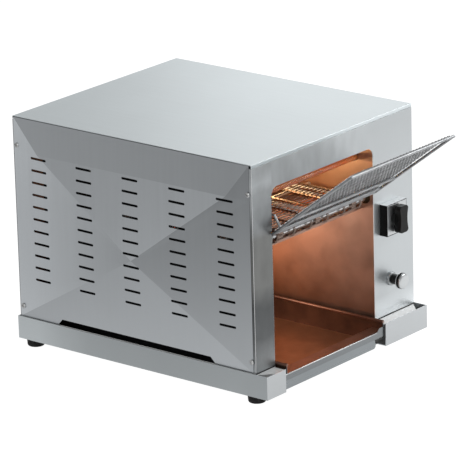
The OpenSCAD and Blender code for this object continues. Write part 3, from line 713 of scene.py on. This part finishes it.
# A black strip along the joint between the fascia's foot and the chassis flange: painted shadow of
# the gap there.
seal_depth = 1.7 * MM
seal_height = 1.3 * MM
seal_y = -0.22395
seal_z = 0.0487
seals = []
for x_from, x_to in ((-0.1885, -0.1465), (0.0945, 0.1885)):
    bpy.ops.mesh.primitive_cube_add(size=1.0, location=((x_from + x_to) / 2, seal_y, seal_z))
    bpy.ops.transform.resize(value=(x_to - x_from, seal_depth, seal_height))
    bpy.ops.object.transform_apply(location=True, rotation=True, scale=True)
    round_edges(bpy.context.object, 0.2 * MM)
    seals.append(bpy.context.object)
seal = joined(seals, "fascia_foot_shadow_strip")
settle(seal, "casing", "foot_rubber", rubber)


# ---- Top cover and back ----
# A plain brushed sheet with its edges turned down, and a slotted back panel, both
# stainless and screwed to the corner posts.

# The top's steel is a paler copy of the casing's brushed steel: painted light.
top_steel = brushed("top_brushed_painted_light", (0.69, 0.745, 0.765), 0.40, (1, 0.03, 1), 0.03, uneven=0.012)
dress("top_cover", "top_cover_sheet", 0.7 * MM, top_steel, "casing_steel")
rear_steel = brushed("rear_brushed", (0.62, 0.64, 0.65), 0.33, (1, 1, 0.03))
dress("rear_panel", "rear_panel_sheet", edge_width, rear_steel, "casing_steel")


# ---- Side panels ----
# Slotted stainless sheets, folded across from corner to corner into four shallow
# facets that stiffen them. Each facet carries painted light and shade of its own.

casing_foot_z = 0.049
strip_foot_z = 0.305
strip_half = 0.185
leaning = 0.012


def facet_shade(centre, normal, corner):
    """Painted light and shade: how pale a facet is made at one of its corners. The cut
    edges come first, then the strip at the top, the facets that lean back, forward and
    down, and the upper one."""
    up = corner.z - casing_foot_z
    if abs(normal.x) < 0.95:
        return 0.90
    if centre.z > strip_foot_z and abs(centre.y) < strip_half and normal.z > 0:
        return 0.955 + 0.42 * corner.y
    if normal.y > leaning:
        return 0.66 + 2.4 * corner.y + 1.4 * up
    if normal.y < -leaning:
        return 0.83 - 0.5 * up
    if normal.z < -leaning:
        return 0.93
    return 1.07


def shade_facets(piece):
    """Store each facet's painted light and shade at its corners, as a colour attribute."""
    tones = piece.data.color_attributes.new("facet_tone", "FLOAT_COLOR", "CORNER")
    for face in piece.data.polygons:
        for loop in face.loop_indices:
            corner = piece.data.vertices[piece.data.loops[loop].vertex_index].co
            tone = facet_shade(face.center, face.normal, corner)
            tones.data[loop].color = (tone, tone, tone, 1.0)


def sharp_creases(piece):
    """Keep each shallow fold between two large facets crisp."""
    fold_angle = math.radians(0.3)
    large = 40 * MM * MM
    shape = bmesh.new()
    shape.from_mesh(piece.data)
    for edge in shape.edges:
        if len(edge.link_faces) == 2 and edge.calc_face_angle() > fold_angle:
            if min(face.calc_area() for face in edge.link_faces) > large:
                edge.smooth = False
    shape.to_mesh(piece.data)
    shape.free()


def facet_tone(tree):
    tone = add_node(tree, "VertexColor")
    tone.layer_name = "facet_tone"
    return tone.outputs["Color"]


side_steel = brushed("side_brushed", (0.59, 0.62, 0.645), 0.34, (1, 1, 0.03), 0.04, facet_tone)
for node in ("left_side_panel", "right_side_panel"):
    panel = merged_copy(node, node + "_sheet")
    round_edges(panel, edge_width)
    sharp_creases(panel)
    keep_flats(panel)
    shade_facets(panel)
    settle(panel, "casing", "casing_steel", side_steel)
    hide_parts(node)
dress("panel_screws", "panel_screws_turned", 0.2 * MM, zinc, "fastener")


# ---- Wire belt ----
# About a hundred straight links of stainless wire, each hooked over its neighbour
# at six places. It runs over the shafts' rollers and is drawn where it rests.

plated = mottled("belt_wire", 1.0, 0.42, (120.0, 3.0),
                 (0.3, (0.20, 0.145, 0.12)), (0.7, (0.33, 0.25, 0.21)))

belt_radius = 10 * MM
front_shaft_y = -208 * MM
rear_shaft_y = 125 * MM
belt_axis_z = 236 * MM
belt_left = -128 * MM
hook_pitch = 39 * MM
hook_rows = 6
links = 96
straight = rear_shaft_y - front_shaft_y
around = math.pi * belt_radius
belt_length = 2 * (straight + around)


def on_belt(x, s, lift=0.0):
    """A point of the belt's loop, s along it from above the front shaft."""
    s %= belt_length
    r = belt_radius + lift
    if s < straight:
        return (x, front_shaft_y + s, belt_axis_z + r)
    if s < straight + around:
        a = (s - straight) / belt_radius
        return (x, rear_shaft_y + r * math.sin(a), belt_axis_z + r * math.cos(a))
    if s < 2 * straight + around:
        return (x, rear_shaft_y - (s - straight - around), belt_axis_z - r)
    a = (s - 2 * straight - around) / belt_radius
    return (x, front_shaft_y - r * math.sin(a), belt_axis_z - r * math.cos(a))


# A hook's points in millimetres: to the side, ahead along the belt, and above it.
half_hook = ((2.4, 0, 0), (1.6, 1.0, 0.3), (1.3, 5.5, 0.9), (1.0, 8.4, 0.5))
hook = [(-side, ahead, lift) for side, ahead, lift in half_hook] + list(half_hook[::-1])


def belt_link(i):
    """The path of one link, hooked over the next at each row of hooks."""
    s = i * belt_length / links
    middles = [belt_left + 2 * MM + k * hook_pitch for k in range(hook_rows)]
    return [on_belt(x + side * MM, s + ahead * MM, lift * MM)
            for x in middles for side, ahead, lift in hook]


belt = wire_piece("belt_links", [belt_link(i) for i in range(links)], 0.8 * MM)
settle(belt, "casing", "wire", plated)
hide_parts("conveyor_belt")
for node in ("drive_rollers", "idler_rollers"):
    dress(node, node + "_turned", 0.4 * MM, plated, "wire")


# ---- Shafts and chain drive ----
# Ground shafts in bronze bushes, turned by an oiled chain from a gearmotor in the
# right-hand compartment.

ground_bar = brushed("ground_bar", (0.58, 0.59, 0.60), 0.25, (1, 1, 1))
for node in ("drive_shaft", "idler_shaft", "motor_shaft", "rack_studs"):
    dress(node, node + "_ground", 0.5 * MM, ground_bar, "shaft_steel")

bronze = mottled("sintered_bronze", 1.0, 0.45, (900.0, 2.0),
                 (0.35, (0.035, 0.022, 0.012)), (0.6, (0.10, 0.065, 0.035)))
dress("shaft_bushes", "shaft_bushes_turned", 0.3 * MM, bronze, "bush_bronze")

chain_oiled = mottled("oiled_chain", 1.0, 0.32, (200.0, 3.0),
                      (0.3, grey(0.07)), (0.7, (0.17, 0.16, 0.15)))
for node in ("drive_chain", "drive_chainwheel", "motor_pinion"):
    dress(node, node + "_oiled", 0.2 * MM, chain_oiled, "chain_steel")

motor_black = mottled("motor_enamel", 0.0, 0.35, (90.0, 4.0),
                      (0.3, grey(0.018)), (0.8, grey(0.035)))
dress("gearmotor", "gearmotor_painted", 1.0 * MM, motor_black, "motor_paint")


# ---- Electrics ----
# A nylon terminal block by the cord's entry, and wires in silicone sleeves from it
# to the controls and the motor.

terminal_nylon = mottled("terminal_nylon", 0.0, 0.45, (80.0, 2.0),
                         (0.3, grey(0.62)), (0.7, grey(0.74)))
dress("terminal_block", "terminal_block_moulded", 0.6 * MM, terminal_nylon, "terminal_plastic")
sleeve = mottled("silicone_sleeve", 0.0, 0.5, (300.0, 2.0),
                 (0.3, (0.30, 0.03, 0.02)), (0.7, (0.45, 0.05, 0.03)))
dress("wiring_loom", "wiring_loom_sleeved", 0.2 * MM, sleeve, "wire_sleeve")


# ---- Selector ----
# A rotary switch in a square black housing with a bright plate and a bright top,
# turned by a waisted grip. The other black mouldings share the grip's finish.

moulded = mottled("black_moulded", 0.0, 0.30, (500.0, 3.0),
                  (0.3, grey(0.006)), (0.8, grey(0.014)), specular=0.14)
tree = moulded.node_tree
relief(tree, skin_of(moulded), noise(tree, 2600.0, 2.0), 0.1, 0.05 * MM)
for node in ("cord_gland", "selector_switch", "speed_control", "selector_knob"):
    dress(node, node + "_moulded", 0.6 * MM, moulded, "black_plastic", steps=3)
matt_black = mottled("housing_moulded", 0.0, 0.45, (500.0, 3.0),
                     (0.3, grey(0.003)), (0.8, grey(0.007)), specular=0.12)
housing = dress("switch_housing", "switch_housing_moulded", 0.4 * MM, matt_black, "black_plastic")
plate_satin = brushed("plate_satin", (0.60, 0.62, 0.63), 0.34, (0.03, 1, 1))
dress("switch_plate", "switch_plate_satin", 0.25 * MM, plate_satin, "bright_plate")
top_trim = brushed("housing_trim", (0.70, 0.72, 0.73), 0.35, (0.03, 1, 1), metallic=0.6)
repaint(housing, top_trim, lambda face: face.normal.z > 0.9 and face.center.z > 0.2)


# ---- Speed knob ----
# A black knob on a bright collar, with a bright line round its back and a domed
# bright cap that covers most of its head.


def turned(name, centre, back_y, steps):
    """A round piece that runs forward from back_y. Each step is a depth and a radius
    in millimetres."""
    depth, radius = steps[0]
    piece = cylinder(64, radius * MM, depth * MM,
                     (centre.x, back_y - depth * MM / 2, centre.z), "Y")
    piece.name = name
    pick_end(piece, 1, back_y - depth * MM)
    for depth, next_radius in steps[1:]:
        extrude((0, -depth * MM, 0))
        ratio = next_radius / radius
        bpy.ops.transform.resize(value=(ratio, 1, ratio))
        radius = next_radius
    bpy.ops.object.mode_set(mode="OBJECT")
    round_edges(piece, 0.25 * MM, 28.0)
    return piece


low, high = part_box("speed_knob")
knob_axis = (low + high) / 2
collar = turned("speed_knob_collar", knob_axis, -0.2241, ((0.5, 10.6), (3.4, 10.0), (0.6, 8.6)))
collar_satin = brushed("collar_satin", (0.42, 0.44, 0.45), 0.42, (1, 1, 1))
settle(collar, "casing", "bright_plate", collar_satin)
knob = turned("speed_knob_moulded", knob_axis, -0.2292,
              ((10.8, 7.6), (1.6, 8.2), (0.6, 11.0), (0.5, 11.9), (3.6, 12.1)))
settle(knob, "speed", "black_plastic", moulded)
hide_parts("speed_knob")
line = turned("speed_knob_line", knob_axis, -0.2415, ((0.9, 12.2), (0.2, 12.1)))
settle(line, "speed", "bright_plate", plate_satin)
cap = turned("speed_knob_cap_domed", knob_axis, -0.2460,
             ((1.3, 11.6), (1.2, 11.2), (0.9, 10.2), (0.5, 8.4), (0.3, 5.4)))
settle(cap, "speed", "bright_plate", plate_satin)
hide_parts("speed_knob_cap")


# ---- Toast tray ----
# A shallow tray that slides out at the front: beaded side edges, a flat shelf
# behind the front edge, and a strip below it to pull it by. Its floor is browned;
# its side walls are dark with painted shade, its shelf and rolled edges brown with
# painted reflection, and its front darker than the strip, as painted shade.


def baked_on(name, low, high, roughness):
    """Sheet in two brown tones, in clouds, with bumps: browning by heat and crumbs on the floor,
    painted shade on the side walls and painted reflection on the rim.
    """
    finish = mottled(name, 0.8, roughness, (25.0, 5.0), (0.3, low), (0.7, high))
    tree = finish.node_tree
    relief(tree, skin_of(finish), noise(tree, 220.0, 3.0), 0.1, 0.1 * MM)
    return finish


# The front is a darker copy of the grip strip's brushed steel: painted shade.
tray_steel = brushed("tray_front_painted_shade_brushed", (0.25, 0.265, 0.275), 0.30, (0.03, 1, 1), 0.06)
tray_grip = brushed("tray_grip_brushed", (0.315, 0.34, 0.355), 0.30, (0.03, 1, 1), 0.06)
tray_floor = baked_on("tray_browned", (0.28, 0.140, 0.075), (0.44, 0.235, 0.130), 0.38)
# The side walls' near-black brown is painted shade.
tray_side = baked_on("tray_side_painted_shade_brown", (0.05, 0.028, 0.020), (0.12, 0.065, 0.045), 0.40)
# The shelf's and rolled edges' brown is a painted reflection of the copper-tinted cavity.
tray_rim = baked_on("tray_rim_painted_reflection_brown", (0.16, 0.085, 0.062), (0.28, 0.16, 0.12), 0.30)
tray_finishes = (tray_steel, tray_floor, tray_side, tray_rim, tray_grip)
front_face_y = -0.2405
grip_top_z = 0.0295
shelf_z = 0.036


def tray_finish_at(at, facing):
    """The finish of a face of the tray, from its middle and its normal."""
    in_front = at.y < front_face_y
    if in_front and at.z < grip_top_z:
        # A strip face that points down takes the side walls' painted shade.
        return tray_grip if facing.z > -0.6 else tray_side
    if in_front and (facing.y < -0.4 or at.z < shelf_z):
        return tray_steel
    if abs(facing.x) > 0.5:
        return tray_side
    return tray_rim if at.z > shelf_z else tray_floor


tray = merged_copy("toast_tray", "toast_tray_sheet")
round_edges(tray, edge_width)
keep_flats(tray)
settle(tray, "tray", "base_steel", *tray_finishes)
for face in tray.data.polygons:
    face.material_index = tray_finishes.index(tray_finish_at(face.center, face.normal))
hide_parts("toast_tray")

# The sides end in a rolled edge, brown with painted reflection.
roll_radius = 2.4 * MM
roll_length = 0.3125
roll_middle_y = -0.08675
roll_z = 0.0521
edges = []
for x in (-0.1415, 0.0875):
    edge = cylinder(24, roll_radius, roll_length, (x, roll_middle_y, roll_z), "Y")
    round_edges(edge, 0.4 * MM, 60.0)
    edges.append(edge)
rolled = joined(edges, "toast_tray_rolled_edges")
settle(rolled, "tray", "base_steel", tray_rim)

# The front edge is hemmed: the sheet is folded back on itself along its top.
hem_radius = 0.9 * MM
hem_length = 0.218
hem_middle = (-0.0385, -0.2432, 0.0389)
hem = cylinder(16, hem_radius, hem_length, hem_middle, "X")
hem.name = "toast_tray_hem"
round_edges(hem, 0.3 * MM, 60.0)
settle(hem, "tray", "base_steel", plate_satin)


# ---- Feed rack ----
# A sloping mesh of fine plated wires welded into a frame of bent round bars. Two
# arms hook it onto studs inside the opening, so it folds up.

rack_wire = mottled("rack_wire", 1.0, 0.32, (90.0, 3.0),
                    (0.3, (0.15, 0.155, 0.16)), (0.7, (0.32, 0.325, 0.33)))
rack_bar = mottled("rack_bar", 1.0, 0.40, (60.0, 3.0),
                   (0.3, (0.27, 0.28, 0.29)), (0.7, (0.42, 0.43, 0.44)))
dress("rack_frame", "rack_frame_bars", 0.3 * MM, rack_bar, "wire", sharper_than=60.0)

slope = math.radians(37.4)
rack_length = 178 * MM
rack_left = -149 * MM
rack_right = 95 * MM
inner_bar_y = -0.2275
inner_bar_z = 0.248


def on_rack(x, u, n):
    """A point on the rack: across, up its slope from the inner bar, and above it."""
    return (x, inner_bar_y - u * math.cos(slope) + n * math.sin(slope),
            inner_bar_z + u * math.sin(slope) + n * math.cos(slope))


bar_radius = 2.2 * MM
mesh_wire = 0.5 * MM
crimp = 0.45 * MM
long_wires = 61
cross_rows = 43
inner_left = rack_left + 2 * bar_radius
inner_right = rack_right - 2 * bar_radius
across_pitch = (inner_right - inner_left) / (long_wires + 1)
along_pitch = rack_length / (cross_rows + 1)
mesh_level = bar_radius + mesh_wire + crimp


def woven(i, k):
    """How far wire i is above or below its crossings, in half pitches k along it."""
    return crimp * math.sin(math.pi * (k / 2 + i + 0.5))


runs = []
for i in range(1, long_wires + 1):
    runs.append([on_rack(inner_left + i * across_pitch, along_pitch * k / 2,
                         mesh_level + woven(i, k)) for k in range(2 * cross_rows + 3)])
for i in range(1, cross_rows + 1):
    runs.append([on_rack(inner_left + across_pitch * k / 2, along_pitch * i,
                         mesh_level - woven(i, k)) for k in range(2 * long_wires + 3)])
grid = wire_piece("rack_mesh", runs, mesh_wire, 0)
settle(grid, "rack", "wire", rack_wire)
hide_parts("rack_grid")


# ---- Sizes ----
# The box of everything that renders here, the floor apart, in metres.

low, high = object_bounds()
